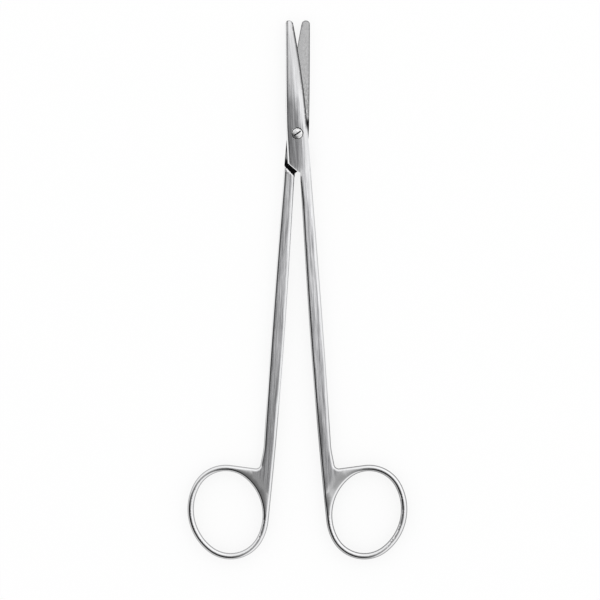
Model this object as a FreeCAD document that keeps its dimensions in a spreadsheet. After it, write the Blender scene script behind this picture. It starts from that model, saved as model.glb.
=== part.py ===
"""Dissecting scissors: two crossed steel halves held by one slotted pivot screw."""

import FreeCAD, Part
import math
import os

import Sketcher

V = FreeCAD.Vector

# Distance within which two places count as one, in millimetres
NEAR = 0.01

# Driving sizes in millimetres and degrees.
# A half lies with its inner, ground face on z = 0, its outer face up and its tip towards +Y.
# Its cutting edge and its finger ring are on the +X side.
SIZES = {
    # Pose as laid down: each half's turn away from the closed pair
    "half_angle": 3.4,
    # Joint, where the two halves lap
    "joint_thick": 2.2,
    "joint_spine": 3.74,
    "joint_edge": 3.4,
    "joint_flat": 1.77,
    "joint_front": 2.0,
    "joint_land": 0.95,
    "lap_edge": 3.76,
    "lap_flat": 1.75,
    "lap_land": 1.25,
    "lap_corner": 9.75,
    "lap_slope": 43.5,
    "shoulder_gap": 0.9,
    # Foot of the lap, sunk inside the shank so that the lap grows out of it on a slope
    "runout": 13.0,
    "runout_inner": 0.6,
    "runout_outer": 0.1,
    "runout_flat": 1.1,
    "runout_top": 0.35,
    "runout_land": 0.9,
    # Blade
    "tip_reach": 37.8,
    "tip_spine": 1.92,
    "tip_edge": 0.62,
    "tip_flat": -0.85,
    "tip_thick": 1.2,
    "tip_round": 1.41,
    "land": 0.25,
    "spine_bevel": 0.5,
    # Shank
    "shank_gap": 0.07,
    "shank_front": 3.67,
    "shank_lead": 13.0,
    "shank_back": 5.0,
    "shank_bow": 4050.0,
    "shank_straight": 45.0,
    "bend_short": 0.3,
    "shank_thick": 3.1,
    "edge_round": 0.9,
    # Web between the shank and the ring
    "web_rise": 6.85,
    "web_step": 0.95,
    "web_back": 0.9,
    "web_flare": 25.0,
    "web_corner": 1.5,
    # Finger ring
    "ring_clear": 2.1,
    "ring_down": 127.3,
    "ring_lean": 15.6,
    "ring_narrow": 11.35,
    "ring_long": 13.75,
    "ring_tuck": 1.35,
    "ring_band": 2.1,
    # Pivot screw
    "head_radius": 1.7,
    "head_gap": 0.25,
    "seat_depth": 0.9,
    "head_edge": 0.12,
    "head_crown": 0.2,
    "journal_radius": 1.2,
    "journal_play": 0.05,
    "thread_radius": 1.0,
    "slot_width": 0.48,
    "slot_depth": 0.45,
    "slot_angle": 34.0,
}

doc = FreeCAD.newDocument("dissecting_scissors")
sizes = doc.addObject("Spreadsheet::Sheet", "Sizes")
for row, (alias, amount) in enumerate(SIZES.items(), start=1):
    sizes.set(f"A{row}", alias)
    sizes.set(f"B{row}", str(amount))
    sizes.setAlias(f"B{row}", alias)
doc.recompute()


def bound(expression):
    """Write the sheet's name in front of each alias of an expression."""
    parts = []
    word = ""
    for letter in expression + " ":
        if letter.isalnum() or letter == "_":
            word += letter
            continue
        parts.append(f"Sizes.{word}" if word in SIZES else word)
        parts.append(letter)
        word = ""
    return "".join(parts).strip()


def value_of(expression):
    """Value of an expression now, for a sketch's first drawing."""
    return float(sizes.evalExpression(bound(expression)))


def point(x, y):
    """Point of a sketch at two expressions."""
    return V(value_of(x), value_of(y), 0)


def new_body(name):
    """Empty body whose label is the piece's name."""
    body = doc.addObject("PartDesign::Body", name)
    body.Label = name
    return body


def new_sketch(body, name, role, lift="0"):
    """Sketch on one of the body's own origin planes, lifted along that plane's normal."""
    sketch = body.newObject("Sketcher::SketchObject", name)
    plane = next(item for item in body.Origin.OriginFeatures if item.Role == role)
    sketch.AttachmentSupport = [(plane, "")]
    sketch.MapMode = "FlatFace"
    sketch.setExpression("AttachmentOffset.Base.z", bound(lift))
    return sketch


def size(sketch, expression, kind, *where):
    """Constraint whose value follows the sheet."""
    index = sketch.addConstraint(Sketcher.Constraint(kind, *where, value_of(expression)))
    sketch.setExpression(f"Constraints[{index}]", bound(expression))


def pin(sketch, shape, end, x, y):
    """Hold one end of a shape at distances from the sketch's origin."""
    size(sketch, x, "DistanceX", shape, end)
    size(sketch, y, "DistanceY", shape, end)


def nearest_ends(sketch, first, second):
    """Ends of two shapes that lie together."""
    pairs = [(a, b) for a in (1, 2) for b in (1, 2)]
    return min(pairs, key=lambda p: (sketch.getPoint(first, p[0]) - sketch.getPoint(second, p[1])).Length)


def join(sketch, first, second, smooth=False):
    """Make the ends that lie together one point, running on smoothly if asked."""
    end_a, end_b = nearest_ends(sketch, first, second)
    kind = "Tangent" if smooth else "Coincident"
    sketch.addConstraint(Sketcher.Constraint(kind, first, end_a, second, end_b))


def polygon(sketch, corners):
    """Closed outline of straight sides through corners that follow the sheet."""
    points = [point(x, y) for x, y in corners]
    count = len(corners)
    for number in range(count):
        sketch.addGeometry(Part.LineSegment(points[number], points[(number + 1) % count]))
    for number, (x, y) in enumerate(corners):
        sketch.addConstraint(Sketcher.Constraint("Coincident", number, 2, (number + 1) % count, 1))
        pin(sketch, number, 1, x, y)


def circle(sketch, radius, x="0", y="0"):
    """Circle bound to the sheet."""
    shape = sketch.addGeometry(Part.Circle(point(x, y), V(0, 0, 1), value_of(radius)))
    pin(sketch, shape, 3, x, y)
    size(sketch, radius, "Radius", shape)


def arc(centre, radius, first, second):
    """Arc turning left about a centre, from the bearing of one point to that of another."""
    start, stop = (math.atan2(p.y - centre.y, p.x - centre.x) for p in (first, second))
    if stop < start:
        stop += 2 * math.pi
    return Part.ArcOfCircle(Part.Circle(centre, V(0, 0, 1), radius), start, stop)


def arc_centre(first, second, radius):
    """Centre on the left of the way from one point to another."""
    chord = second - first
    left = V(-chord.y, chord.x, 0).normalize()
    return (first + second) * 0.5 + left * math.sqrt(radius**2 - (chord.Length / 2) ** 2)


def solid_step(body, kind, name, sketch, length, side="One side", turned=False):
    """Pad or pocket of a sketch."""
    feature = body.newObject(f"PartDesign::{kind}", name)
    feature.Profile = sketch
    feature.SideType = side
    feature.Reversed = turned
    feature.setExpression("Length", bound(length))
    doc.recompute()
    return feature


def round_edges(body, name, base, radius, chosen):
    """Fillet on the edges of a feature that a test picks."""
    feature = body.newObject("PartDesign::Fillet", name)
    picked = [f"Edge{n}" for n, edge in enumerate(base.Shape.Edges, start=1) if chosen(edge)]
    feature.Base = (base, picked)
    feature.setExpression("Radius", bound(radius))
    doc.recompute()
    return feature


def is_upright(edge):
    """True for an edge along Z."""
    first, last = edge.Vertexes[0].Point, edge.Vertexes[-1].Point
    return abs(first.z - last.z) > NEAR and math.hypot(first.x - last.x, first.y - last.y) < NEAR


# Shank, web and finger ring: a flat forging with rounded edges
# Its front end is ground to the slanting shoulder that the other half's lap comes to when closed.
SLOPE = "(lap_slope * 1 deg)"
SHOULDER = f"-(lap_corner + shoulder_gap / cos{SLOPE} + (joint_spine - {{0}}) * tan{SLOPE})"

# Largest share of the ring's band that its edge rounding takes
ROUNDING_SHARE = 0.44


# The ring is an oval of four arcs, two of them round its ends and two along its sides
# Its band stands clear of the line that the shanks close to.
RING_ACROSS = "(ring_narrow + ring_band + ring_clear)"
END_RADIUS = "(ring_narrow - ring_tuck)"
SIDE_RADIUS = f"((pow(ring_narrow; 2) + pow(ring_long; 2) - 2 * ring_long * {END_RADIUS}) / (2 * ring_tuck))"


def ring_place(across, along):
    """Expressions for a point at distances along the leaning ring's narrow and long axes."""
    lean = "ring_lean * 1 deg"
    x = f"{RING_ACROSS} + ({across}) * cos({lean}) + ({along}) * sin({lean})"
    y = f"-ring_down - ({across}) * sin({lean}) + ({along}) * cos({lean})"
    return x, y


# The web's corner lies a little behind the ring's front, and its flare starts a rise in front of that
WEB_DOWN = "(ring_down - ring_long - ring_band + web_back)"
WEB_START = f"({WEB_DOWN} - web_rise)"
WEB_ACROSS = "(shank_back + web_step)"

# The shank's bend ends just in front of the ring's middle
BEND_END = "(ring_down - bend_short)"

TOP_CENTRE = ring_place("0", f"ring_long - {END_RADIUS}")
FOOT_CENTRE = ring_place("0", f"{END_RADIUS} - ring_long")
INNER_CENTRE = ring_place(f"{SIDE_RADIUS} - ring_narrow", "0")
OUTER_CENTRE = ring_place(f"ring_narrow - {SIDE_RADIUS}", "0")


def touch_point(outside, centre, radius, side):
    """Where a line from a point outside a circle touches it."""
    away = outside - centre
    bearing = math.atan2(away.y, away.x) + side * math.acos(radius / away.Length)
    return centre + V(math.cos(bearing), math.sin(bearing), 0) * radius


def oval_corner(end_centre, side_centre, growth):
    """Where an end arc meets a side arc."""
    end, side = point(*end_centre), point(*side_centre)
    return end + (end - side).normalize() * value_of(f"{END_RADIUS} + {growth}")


def oval_arcs(growth, inner_start=None, top_stop=None):
    """The ring's arcs turning left: inner side, foot, outer side, top, grown by the band."""
    end_radius = value_of(f"{END_RADIUS} + {growth}")
    side_radius = value_of(f"{SIDE_RADIUS} + {growth}")
    top_inner = oval_corner(TOP_CENTRE, INNER_CENTRE, growth)
    foot_inner = oval_corner(FOOT_CENTRE, INNER_CENTRE, growth)
    foot_outer = oval_corner(FOOT_CENTRE, OUTER_CENTRE, growth)
    top_outer = oval_corner(TOP_CENTRE, OUTER_CENTRE, growth)
    return [
        arc(point(*INNER_CENTRE), side_radius, inner_start or top_inner, foot_inner),
        arc(point(*FOOT_CENTRE), end_radius, foot_inner, foot_outer),
        arc(point(*OUTER_CENTRE), side_radius, foot_outer, top_outer),
        arc(point(*TOP_CENTRE), end_radius, top_outer, top_stop or top_inner),
    ]


def hold_oval(sketch, inner, foot, outer, top, growth):
    """Bind the four arcs' centres and radii, and run them smoothly into each other."""
    for first, second in ((inner, foot), (foot, outer), (outer, top)):
        join(sketch, first, second, smooth=True)
    for shape, centre in ((foot, FOOT_CENTRE), (top, TOP_CENTRE)):
        pin(sketch, shape, 3, *centre)
        size(sketch, f"{END_RADIUS} + {growth}", "Radius", shape)
    size(sketch, f"{SIDE_RADIUS} + {growth}", "Radius", outer)


def draw_shank(sketch):
    """Plan of the shank, the web and the ring."""
    front_in = point("shank_gap", "-lap_corner")
    lead_end = point("shank_front", "-shank_lead")
    straight_end = point("shank_gap", "-shank_straight")
    web_top = point("shank_back", f"-{WEB_START}")
    web_corner = point(WEB_ACROSS, f"-{WEB_DOWN}")
    end_radius = value_of(f"{END_RADIUS} + ring_band")
    side_radius = value_of(f"{SIDE_RADIUS} + ring_band")

    # The inner edge bends gently and runs tangent into the ring's side
    bend_corner = point("shank_gap", f"-(shank_straight + {BEND_END}) / 2")
    heel = touch_point(bend_corner, point(*INNER_CENTRE), side_radius, 1)
    run = (bend_corner - straight_end).Length
    tail_way = (heel - bend_corner).normalize()
    bend_end = bend_corner + tail_way * run
    bend_radius = run / math.tan(tail_way.getAngle(V(0, -1, 0)) / 2)

    crown = touch_point(web_corner, point(*TOP_CENTRE), end_radius, -1)

    # The outer edge bows from the web forwards and runs out straight along the shoulder
    bow = value_of("shank_bow")
    bow_centre = arc_centre(web_top, lead_end, bow)
    lead_way = V(bow_centre.y - lead_end.y, lead_end.x - bow_centre.x, 0)
    front_out = lead_end + lead_way * ((front_in.y - lead_end.y) / lead_way.y)
    shapes = [
        Part.LineSegment(front_in, front_out),
        Part.LineSegment(front_out, lead_end),
        arc(bow_centre, bow, web_top, lead_end),
        Part.LineSegment(web_top, web_corner),
        Part.LineSegment(web_corner, crown),
        *oval_arcs("ring_band", heel, crown),
        Part.LineSegment(heel, bend_end),
        arc(straight_end + V(bend_radius, 0, 0), bend_radius, straight_end, bend_end),
        Part.LineSegment(straight_end, front_in),
    ]
    front, lead, outside, flare, web, inner, foot, outer, top, tail, bend, inside = (
        sketch.addGeometry(shape) for shape in shapes
    )
    join(sketch, front, lead)
    join(sketch, lead, outside, smooth=True)
    join(sketch, outside, flare)
    join(sketch, flare, web)
    join(sketch, web, top, smooth=True)
    join(sketch, inner, tail, smooth=True)
    join(sketch, tail, bend, smooth=True)
    join(sketch, bend, inside, smooth=True)
    join(sketch, inside, front)
    pin(sketch, front, 1, "shank_gap", "-lap_corner")
    size(sketch, "-lap_corner", "DistanceY", front, 2)
    pin(sketch, lead, 2, "shank_front", "-shank_lead")
    pin(sketch, flare, 1, "shank_back", f"-{WEB_START}")
    pin(sketch, flare, 2, WEB_ACROSS, f"-{WEB_DOWN}")
    size(sketch, "shank_bow", "Radius", outside)
    size(sketch, "-shank_straight", "DistanceY", inside, 1)
    size(sketch, f"-{BEND_END}", "DistanceY", tail, 2)
    hold_oval(sketch, inner, foot, outer, top, "ring_band")
    pin(sketch, inner, 3, *INNER_CENTRE)

    # Finger opening
    inner, foot, outer, top = (sketch.addGeometry(shape) for shape in oval_arcs("0"))
    hold_oval(sketch, inner, foot, outer, top, "0")
    join(sketch, top, inner, smooth=True)
    size(sketch, SIDE_RADIUS, "Radius", inner)


def build_shank(body):
    """Forge the shank and ring: plan, rounded web and rims, then the shoulder ground across."""
    plan = new_sketch(body, body.Label + "_shank_plan", "XY_Plane")
    draw_shank(plan)
    step = solid_step(body, "Pad", body.Label + "_shank", plan, "shank_thick", "Symmetric")

    def upright_at(down):
        place = -value_of(down)
        return lambda edge: is_upright(edge) and abs(edge.Vertexes[0].Point.y - place) < NEAR

    step = round_edges(body, body.Label + "_web_corner", step, "web_corner", upright_at(WEB_DOWN))
    step = round_edges(body, body.Label + "_web_flare", step, "web_flare", upright_at(WEB_START))

    def is_rim(edge):
        in_front = [vertex.Point.y > value_of("-2 * lap_corner") for vertex in edge.Vertexes]
        return not is_upright(edge) and not all(in_front)

    radius = f"min(edge_round; {ROUNDING_SHARE} * ring_band)"
    round_edges(body, body.Label + "_rounding", step, radius, is_rim)

    slope = new_sketch(body, body.Label + "_shoulder_slope", "XY_Plane")
    polygon(slope, [
        ("-shank_front", SHOULDER.format("(-shank_front)")),
        ("2 * shank_front", SHOULDER.format("2 * shank_front")),
        ("2 * shank_front", "0"),
        ("-shank_front", "0"),
    ])
    solid_step(body, "Pocket", body.Label + "_shoulder", slope, "2 * shank_thick", "Symmetric")


# Lap and blade: a ruled loft through six-cornered sections, ground flat inside
# Each outline runs from the joint to the tip by a power of the share of the way.
BLADE_STATIONS = 6
SPINE_CURVE = 1.15
EDGE_CURVE = 1.7
FLAT_CURVE = 0.8
THINNING_CURVE = 2
LAND_CURVE = 4

# The lap's slanting end lies this far inside the shank's inner side
LAP_SINK = 0.1
LAP_ROOT = f"(lap_corner + (joint_spine + shank_gap + {LAP_SINK}) * tan{SLOPE})"

# Share of the narrowing from the lap's root to the joint that is done at the lap's corner
LAP_SHARE = 0.24


def between(first, second, share):
    """Size a share of the way from one named size to another."""
    return f"({first}) + (({second}) - ({first})) * {share:.4f}"


def section(body, name, y, left, right, flat, top, land):
    """Cross-section of the lap or blade: ground face, spine bevel, outer face, edge bevel, land."""
    sketch = new_sketch(body, f"{body.Label}_{name}", "XZ_Plane", f"-({y})")
    polygon(sketch, [
        (left, "0"),
        (left, f"({top}) - spine_bevel"),
        (f"({left}) + spine_bevel", top),
        (flat, top),
        (right, land),
        (right, "0"),
    ])
    return sketch


def build_blade(body):
    """Loft the lap and the blade, then round the nose."""
    sections = [
        section(
            body, "runout",
            y=f"-({LAP_ROOT} + runout)",
            left="shank_gap + runout_inner",
            right="shank_front - runout_outer",
            flat="shank_front - runout_flat",
            top="shank_thick / 2 - runout_top",
            land="shank_thick / 2 - runout_land",
        ),
        section(
            body, "lap_root",
            y=f"-{LAP_ROOT}",
            left=f"shank_gap + {LAP_SINK}",
            right="lap_edge",
            flat="lap_flat",
            top="joint_thick",
            land="lap_land",
        ),
        section(
            body, "lap_corner",
            y="-lap_corner",
            left="-joint_spine",
            right=between("lap_edge", "joint_edge", LAP_SHARE),
            flat=between("lap_flat", "joint_flat", LAP_SHARE),
            top="joint_thick",
            land=between("lap_land", "joint_land", LAP_SHARE),
        ),
    ]
    for number in range(BLADE_STATIONS + 1):
        share = number / BLADE_STATIONS
        sections.append(section(
            body, f"blade_{number}",
            y=between("joint_front", "tip_reach", share),
            left=between("-joint_spine", "-tip_spine", share**SPINE_CURVE),
            right=between("joint_edge", "tip_edge", share**EDGE_CURVE),
            flat=between("joint_flat", "tip_flat", share**FLAT_CURVE),
            top=between("joint_thick", "tip_thick", share**THINNING_CURVE),
            land=between("land", "joint_land", (1 - share) ** LAND_CURVE),
        ))
    doc.recompute()
    loft = body.newObject("PartDesign::AdditiveLoft", body.Label + "_blade")
    loft.Profile = sections[0]
    loft.Sections = sections[1:]
    loft.Ruled = True
    doc.recompute()

    nose = new_sketch(body, body.Label + "_nose_plan", "XY_Plane")
    middle_x = "((tip_edge - tip_spine) / 2)"
    middle_y = "(tip_reach - tip_round)"
    right = f"{middle_x} + tip_round"
    left = f"{middle_x} - tip_round"
    centre = point(middle_x, middle_y)
    bow = nose.addGeometry(arc(centre, value_of("tip_round"), point(right, middle_y), point(left, middle_y)))
    corners = [
        (left, middle_y),
        (f"{left} - tip_round", middle_y),
        (f"{left} - tip_round", f"{middle_y} + 2 * tip_round"),
        (f"{right} + tip_round", f"{middle_y} + 2 * tip_round"),
        (f"{right} + tip_round", middle_y),
        (right, middle_y),
    ]
    for first, second in zip(corners, corners[1:]):
        side = nose.addGeometry(Part.LineSegment(point(*first), point(*second)))
        pin(nose, side, 1, *first)
        join(nose, side, side - 1)
    pin(nose, side, 2, *corners[-1])
    join(nose, side, bow)
    size(nose, middle_y, "DistanceY", bow, 3)
    solid_step(body, "Pocket", body.Label + "_nose", nose, "4 * joint_thick", "Symmetric")


def build_half(name):
    """One forging, the same for both halves."""
    body = new_body(name)
    build_shank(body)
    build_blade(body)
    return body


def drill(body, word, radius, lift, depth):
    """Round hole about the pivot axis, from a height of the half upwards."""
    sketch = new_sketch(body, f"{body.Label}_{word}_circle", "XY_Plane", lift)
    circle(sketch, radius)
    solid_step(body, "Pocket", f"{body.Label}_{word}", sketch, depth, turned=True)


# Upper half: bored to turn on the screw's journal, with a round seat for its head
upper = build_half("upper_half")
drill(upper, "bore", "journal_radius + journal_play", "0", "joint_thick")
drill(upper, "seat", "head_radius + head_gap", "joint_thick - seat_depth", "joint_thick")
upper.setExpression("Placement.Base.z", bound("joint_thick"))
upper.setExpression("Placement.Rotation.Angle", bound("half_angle"))

# Lower half: the same forging turned over, with the tapped hole that holds the screw
lower = build_half("lower_half")
drill(lower, "tapping", "thread_radius", "0", "joint_thick")
turn = "half_angle / 2 * 1 deg"
lower.setExpression("Placement", bound(
    "create(<<placement>>; create(<<vector>>; 0; 0; joint_thick);"
    f" create(<<rotation>>; create(<<vector>>; sin({turn}); cos({turn}); 0); 180))"
))

# Pivot screw: turned head, journal and threaded end, riveted flush with the lower half
screw = new_body("pivot_screw")
profile = new_sketch(screw, "screw_profile", "XZ_Plane")
head_base = "joint_thick - seat_depth"
head_rim = "joint_thick - head_edge"
head_top = "joint_thick + head_crown"
corners = [
    ("0", head_top),
    ("0", "-joint_thick"),
    ("thread_radius", "-joint_thick"),
    ("thread_radius", "0"),
    ("journal_radius", "0"),
    ("journal_radius", head_base),
    ("head_radius", head_base),
    ("head_radius", head_rim),
]
for first, second in zip(corners, corners[1:]):
    side = profile.addGeometry(Part.LineSegment(point(*first), point(*second)))
    pin(profile, side, 1, *first)
    if side:
        join(profile, side, side - 1)
pin(profile, side, 2, *corners[-1])
rise = value_of("head_edge + head_crown")
crown_radius = (value_of("head_radius") ** 2 + rise**2) / (2 * rise)
crown_centre = point("0", head_top) - V(0, crown_radius, 0)
crown = profile.addGeometry(arc(crown_centre, crown_radius, point(*corners[-1]), point(*corners[0])))
join(profile, crown, side)
join(profile, crown, 0)
size(profile, "0", "DistanceX", crown, 3)
turned = screw.newObject("PartDesign::Revolution", "screw_turned")
turned.Profile = profile
turned.ReferenceAxis = (profile, ["V_Axis"])
turned.Angle = 360
doc.recompute()
slot = new_sketch(screw, "slot_plan", "XY_Plane", head_top)
polygon(slot, [
    ("-2 * head_radius", "-slot_width / 2"),
    ("2 * head_radius", "-slot_width / 2"),
    ("2 * head_radius", "slot_width / 2"),
    ("-2 * head_radius", "slot_width / 2"),
])
solid_step(screw, "Pocket", "slot", slot, "slot_depth")
screw.setExpression("Placement.Base.z", bound("joint_thick"))
screw.setExpression("Placement.Rotation.Angle", bound("slot_angle"))
doc.recompute()

# Every object has to be sound before anything is written
for item in doc.Objects:
    if {"Invalid", "Error"} & set(item.State):
        raise RuntimeError(f"{item.Label} failed: {item.State}")
pieces = [upper, lower, screw]
for body in pieces:
    if body.Shape.isNull() or not body.Shape.isValid() or len(body.Shape.Solids) != 1:
        raise RuntimeError(f"{body.Label} is not one sound solid")
os.makedirs("parts", exist_ok=True)
for body in pieces:
    body.Shape.exportStep(f"parts/{body.Label}.step")
    print(f"{body.Label}: {body.Shape.Volume:.2f} mm3")
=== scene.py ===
import math

import bpy
import numpy as np
from mathutils import Matrix, Vector
from mathutils.geometry import delaunay_2d_cdt


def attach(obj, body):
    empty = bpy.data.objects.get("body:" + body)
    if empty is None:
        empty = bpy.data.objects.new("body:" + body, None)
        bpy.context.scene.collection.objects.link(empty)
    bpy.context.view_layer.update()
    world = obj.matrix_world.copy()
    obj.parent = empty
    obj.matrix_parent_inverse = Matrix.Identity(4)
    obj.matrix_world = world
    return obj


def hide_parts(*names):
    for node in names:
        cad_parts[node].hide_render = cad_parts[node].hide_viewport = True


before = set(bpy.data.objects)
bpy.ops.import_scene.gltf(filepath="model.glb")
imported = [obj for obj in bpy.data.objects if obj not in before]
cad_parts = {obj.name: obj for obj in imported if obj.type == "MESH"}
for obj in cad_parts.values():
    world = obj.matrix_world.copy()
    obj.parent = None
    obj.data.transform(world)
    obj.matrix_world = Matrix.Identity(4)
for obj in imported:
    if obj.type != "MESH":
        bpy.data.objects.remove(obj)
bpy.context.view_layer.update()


# The two forged halves
# Each half is one drop forging of stainless steel: blade, lapped joint, shank, web and finger ring.
# It is ground flat and bevelled by hand and brushed lengthwise, and its ring and rims are polished.
# Both halves are the same forging, and the lower one is the upper one turned over.

# Sizes are in millimetres, in a half's own frame: pivot at the origin, tip towards +Y,
# inner ground face on z = 0, outer face up, cutting edge and ring on the +X side.
MM = 0.001
HALF_ANGLE = math.radians(3.4)

# Blade and joint. A land is the thickness left at a cutting edge, and a curve is the power a line bends with.
JOINT_THICK = 2.2
JOINT_FRONT = 2.0
JOINT_SPINE, TIP_SPINE, SPINE_CURVE = 3.74, 1.92, 1.15
JOINT_EDGE, TIP_EDGE, EDGE_CURVE = 3.4, 0.62, 1.7
JOINT_FLAT, TIP_FLAT, FLAT_CURVE = 1.77, -0.85, 0.8
JOINT_LAND, TIP_LAND, LAND_CURVE = 0.95, 0.25, 4
TIP_REACH, TIP_THICK, TIP_ROUND = 37.8, 1.2, 1.41
NOSE_MIDDLE = (TIP_EDGE - TIP_SPINE) / 2
NOSE_EDGE_ROUND, NOSE_BEVEL_FADE = 0.25, 1.2
SPINE_BEVEL = 0.5
BEVEL_SOFTNESS = 0.12
FLAT_LEAN, FLAT_LEAN_FROM, FLAT_LEAN_OVER = 0.02, 0.2, 0.35

# Lap, shoulder and the runout into the shank
LAP_CORNER = 9.75
LAP_SLOPE = math.tan(math.radians(43.5))
SLANT = math.hypot(1, LAP_SLOPE)
LAP_EDGE, LAP_FLAT, LAP_LAND = 3.76, 1.75, 1.25
LAP_RIM, LAP_RIM_END = 0.2, 1.2
LAP_FOOT = 3.9
LAP_BACK = LAP_CORNER + 4
SHOULDER_GAP, SHOULDER_RIM, SHOULDER_DROP = 0.9, 0.28, 0.1
RUNOUT, RUNOUT_LEAN = 13.0, 0.03

# Shank. A lean is a slope across it, in mm per mm.
SHANK_GAP = 0.07
SHANK_LEAD, SHANK_FRONT, FRONT_MERGE = 13.0, 3.67, 8
SHANK_BACK, SHANK_BOW = 5.0, 0.26
SHANK_STRAIGHT = 45.0
SHANK_THICK, EDGE_ROUND = 3.1, 0.9
SHANK_MIDDLE = 2.4
SHANK_LEAN, LEAN_AHEAD, LEAN_RISE, LEAN_END, LEAN_FADE = 0.04, 2, 4, 70, 35
TOP_LEAN, TOP_LEAN_REACH = 0.03, 2.6
OUTER_SLOPE, OUTER_REACH, OUTER_SOFTNESS = 0.1, 42.0, 0.3
CROWN, CROWN_FADE = 0.035, 0.6
LAP_ROOT = np.array([SHANK_GAP, -LAP_CORNER - (JOINT_SPINE + SHANK_GAP) * LAP_SLOPE])

# Ring and web. The ring's oval has a tighter radius at its ends than at its sides.
RING_CENTRE = np.array([15.55, -127.3])
RING_LEAN = math.radians(15.6)
RING_NARROW, RING_LONG, RING_TUCK, RING_BAND = 11.35, 13.75, 1.35, 2.1
END_RADIUS = RING_NARROW - RING_TUCK
END_OFFSET = RING_LONG - END_RADIUS
SIDE_RADIUS = (RING_NARROW**2 + RING_LONG**2 - 2 * RING_LONG * END_RADIUS) / (2 * RING_TUCK)
SIDE_OFFSET = SIDE_RADIUS - RING_NARROW
WEB_CORNER, WEB_TOP = np.array([5.95, -112.35]), np.array([5.0, -105.5])
WEB_CORNER_ROUND, WEB_FLARE_ROUND, WEB_LEAD = 1.5, 25.0, 10
WEB_FROM, WEB_OVER, WEB_RISE = 96, 12, 2
WEB_LEAN, WEB_TURN, WEB_MIDDLE = 0.018, 0.7, (6, -112)

# Bore and screw seat
BORE_RADIUS, SEAT_RADIUS, SEAT_DEPTH, SEAT_RIM = 1.25, 1.95, 0.9, 0.08
THREAD_RADIUS = 1.0

# Mesh spacing: along an outline, along a crease and over the flats, and rows beside edges and creases
STEP, FINE_STEP, SHOULDER_STEP, GRID = 0.6, 0.3, 0.35, 0.9
ARC_TURN, NOSE_POINTS, BORE_POINTS, TURN_POINTS = 0.12, 9, 64, 4
ROUND_ROWS = (0.05, 0.15, 0.3, 0.5, 0.7, 0.9)
MIDDLE_ROWS = (1.2, 1.6)
NOSE_ROWS = (0.04, 0.1, 0.2, 0.35, 0.5, 0.65)
BEVEL_ROWS = (-0.5, -0.25, -0.1, 0.05, 0.25, 0.5)
SPINE_ROWS = (0.1, 0.25, 0.45)
EDGE_ROWS = (0.07, 0.16, 0.4, 0.8)
CREASE_ROOM, EDGE_ROOM, GRID_ROOM, ROW_ROOM, LEAST_GAP = 0.12, 0.03, 0.5, 1.95, 0.04
SEAT_ROOM, RIDGE_ROOM, OWN_EDGE = 0.1, 0.02, 0.96
NEAR = 1e-4


def smooth(value):
    """Share from 0 to 1 that starts and ends gently."""
    value = np.clip(value, 0, 1)
    return value * value * (3 - 2 * value)


def blade_share(y):
    """How far a place lies from the joint towards the tip."""
    return np.clip((y - JOINT_FRONT) / (TIP_REACH - JOINT_FRONT), 0, 1)


def lap_share(y):
    """How far a place lies from the joint back to the lap's root."""
    return np.clip((JOINT_FRONT - y) / (JOINT_FRONT + SHANK_LEAD), 0, 1)


def spine_line(y):
    """Left side of the blade and lap."""
    return -(JOINT_SPINE + (TIP_SPINE - JOINT_SPINE) * blade_share(y) ** SPINE_CURVE)


def edge_line(y):
    """Right side: cutting edge, lap and outer side of the shank."""
    blade = JOINT_EDGE + (TIP_EDGE - JOINT_EDGE) * blade_share(y) ** EDGE_CURVE
    lap = JOINT_EDGE + (LAP_EDGE - JOINT_EDGE) * lap_share(y)
    along = np.clip((-y - SHANK_LEAD) / (-WEB_TOP[1] - SHANK_LEAD), 0, 1)
    shank = SHANK_FRONT + (SHANK_BACK - SHANK_FRONT) * along + SHANK_BOW * 4 * along * (1 - along)
    merge = smooth((-y - SHANK_LEAD) / FRONT_MERGE)
    return np.where(y > JOINT_FRONT, blade, lap * (1 - merge) + shank * merge)


def flat_line(y):
    """Where the outer flat meets the bevel of the cutting edge."""
    blade = JOINT_FLAT + (TIP_FLAT - JOINT_FLAT) * blade_share(y) ** FLAT_CURVE
    lap = JOINT_FLAT + (LAP_FLAT - JOINT_FLAT) * lap_share(y)
    return np.where(y > JOINT_FRONT, blade, lap)


def shoulder_line(x):
    """Height along Y of the slanting shoulder."""
    return -(LAP_CORNER + SHOULDER_GAP * SLANT + (JOINT_SPINE - x) * LAP_SLOPE)


def rounding(distance, radius):
    """Depth below the flat of a rounded edge, at a distance in from the edge."""
    left = np.clip(radius - distance, 0, radius)
    return radius - np.sqrt(radius**2 - left**2)


def turned(points):
    """Points of the ring's own frame, leaning on the shank."""
    u, v = np.asarray(points, float).T
    cos, sin = math.cos(RING_LEAN), math.sin(RING_LEAN)
    return RING_CENTRE + np.stack([u * cos + v * sin, -u * sin + v * cos], 1)


def oval(growth, start, stop):
    """Points of the ring's oval turning left from one bearing of its normal to another."""
    corner = math.atan2(END_OFFSET, SIDE_OFFSET)
    end, side = END_RADIUS + growth, SIDE_RADIUS + growth
    points = []
    for bearing in np.linspace(start, stop, int(end * abs(stop - start) / STEP)):
        u, v = math.cos(bearing), math.sin(bearing)
        if abs(math.atan2(v, abs(u))) > corner:
            points.append((u * end, v * end + math.copysign(END_OFFSET, v)))
        else:
            points.append((u * side - math.copysign(SIDE_OFFSET, u), v * side))
    return turned(points)


def ring_distance(points):
    """Distance outwards from the finger opening's edge."""
    x, y = (points - RING_CENTRE).T
    cos, sin = math.cos(RING_LEAN), math.sin(RING_LEAN)
    u, v = np.abs(x * cos - y * sin), np.abs(x * sin + y * cos)
    at_end = END_OFFSET * (u + SIDE_OFFSET) < SIDE_OFFSET * v
    end = np.hypot(u, v - END_OFFSET) - END_RADIUS
    return np.where(at_end, end, np.hypot(u + SIDE_OFFSET, v) - SIDE_RADIUS)


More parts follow.
